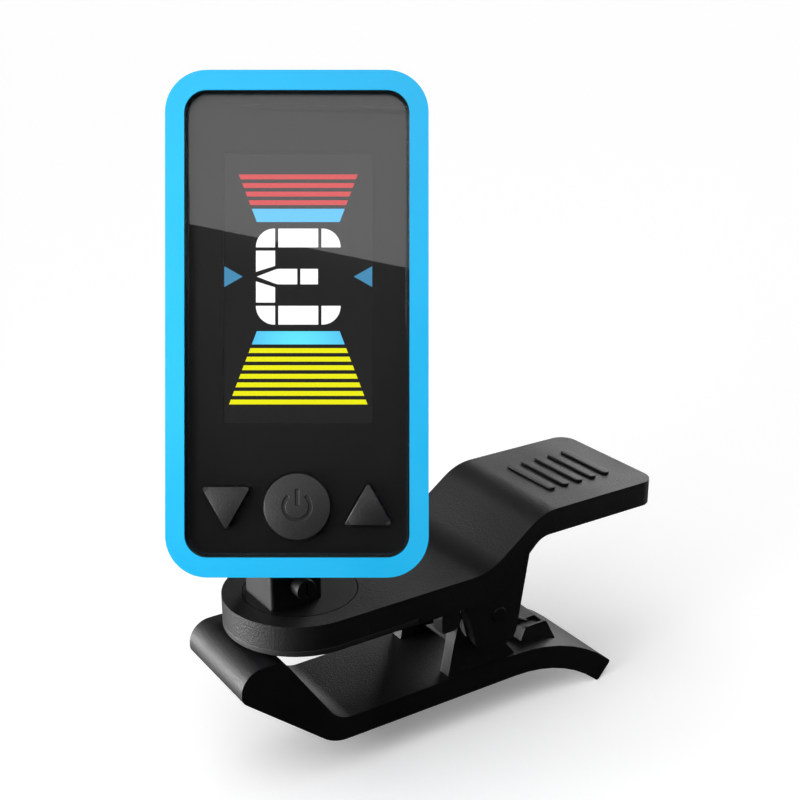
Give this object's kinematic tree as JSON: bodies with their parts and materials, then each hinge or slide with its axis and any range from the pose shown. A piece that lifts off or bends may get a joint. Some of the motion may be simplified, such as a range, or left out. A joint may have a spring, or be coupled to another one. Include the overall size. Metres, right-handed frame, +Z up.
{
  "type": "clip-on instrument tuner",
  "caption": "Pocket instrument tuner: an upright backlit display head in a coloured rim, on a swivel and tilt joint, carried by a black sprung clip.",
  "frame": {"origin": "centre line of the jaws' bite, on the lower face of the upper grip pad", "axes": "+X from the jaws to the tail, +Y across the clip, +Z up, at right angles to the upper arm"},
  "size_m": [0.0643, 0.0341, 0.0805],
  "materials": {
    "clip_plastic": "matt fine grain",
    "joint_plastic": "satin",
    "cover_black": "fine grain",
    "grip_rubber": "matt",
    "button_rubber": "matt",
    "bezel_blue": "satin",
    "lens_black": "gloss, smoked",
    "mask_black": "printed black",
    "lcd_red": "lit segment",
    "lcd_yellow": "lit segment",
    "lcd_blue": "lit segment",
    "lcd_white": "lit segment",
    "lcd_dark": "dark display glass",
    "white_plastic": "diffuser",
    "board_green": "solder mask",
    "sensor_brass": "thin disc",
    "steel": "plated"
  },
  "bodies": {
    "lower": {"lower_jaw": "clip_plastic", "pivot_pin": "steel", "torsion_spring": "steel"},
    "upper": {"upper_jaw": "clip_plastic", "jaw_grip_pad": "grip_rubber", "thumb_grip": "clip_plastic"},
    "swivel": {"swivel_disc": "clip_plastic", "swivel_washer": "steel", "swivel_screw": "steel", "tension_screw": "joint_plastic"},
    "post": {"swivel_post": "joint_plastic", "tilt_pin": "steel"},
    "head": {"hinge_bracket": "joint_plastic", "bracket_screws": "steel", "front_bezel": "bezel_blue", "lens": "lens_black", "mask_panel": "mask_black", "lcd_bars_red": "lcd_red", "lcd_bars_yellow": "lcd_yellow", "lcd_bars_blue": "lcd_blue", "lcd_letter": "lcd_white", "lcd_panel": "lcd_dark", "backlight": "white_plastic", "main_board": "board_green", "dome_switches": "steel", "tuner_chip": "mask_black", "vibration_sensor": "sensor_brass", "battery_contact_minus": "steel", "battery_contact_plus": "steel", "battery_cell": "steel", "rear_cover": "cover_black", "case_screws": "steel"},
    "power_key": {"power_button": "button_rubber"},
    "down_key": {"down_button": "button_rubber"},
    "up_key": {"up_button": "button_rubber"},
    "door": {"battery_door": "cover_black"}
  },
  "joints": [
    {"name": "clip_open", "type": "hinge", "parent": "lower", "child": "upper", "pos_m": [0.0307, 0, -0.00285], "axis": [0, 1, 0], "range_deg": [0, 30], "stiffness_Nm_per_rad": 0.35, "springref_deg": -17.19, "deforming": ["torsion_spring"]},
    {"name": "disc_swivel", "type": "hinge", "parent": "upper", "child": "swivel", "pos_m": [0.008, 0, 0.00375], "axis": [0, 0, 1], "continuous": true},
    {"name": "head_swivel", "type": "hinge", "parent": "swivel", "child": "post", "pos_m": [0.0059, 0, 0.00855], "axis": [0, 0, 1], "continuous": true},
    {"name": "head_tilt", "type": "hinge", "parent": "post", "child": "head", "pos_m": [0.0059, 0, 0.01115], "axis": [-0.8368, 0.5476, 0], "range_deg": [-25, 55]},
    {"name": "power_press", "type": "slide", "parent": "head", "child": "power_key", "axis": [0.5142, 0.7858, -0.3437], "range_m": [0, 0.00035], "stiffness_N_per_m": 300},
    {"name": "down_press", "type": "slide", "parent": "head", "child": "down_key", "axis": [0.5142, 0.7858, -0.3437], "range_m": [0, 0.00035], "stiffness_N_per_m": 300},
    {"name": "up_press", "type": "slide", "parent": "head", "child": "up_key", "axis": [0.5142, 0.7858, -0.3437], "range_m": [0, 0.00035], "stiffness_N_per_m": 300},
    {"name": "door_slide", "type": "slide", "parent": "head", "child": "door", "axis": [0.1882, 0.2876, 0.9391], "range_m": [0, 0.012]}
  ]
}
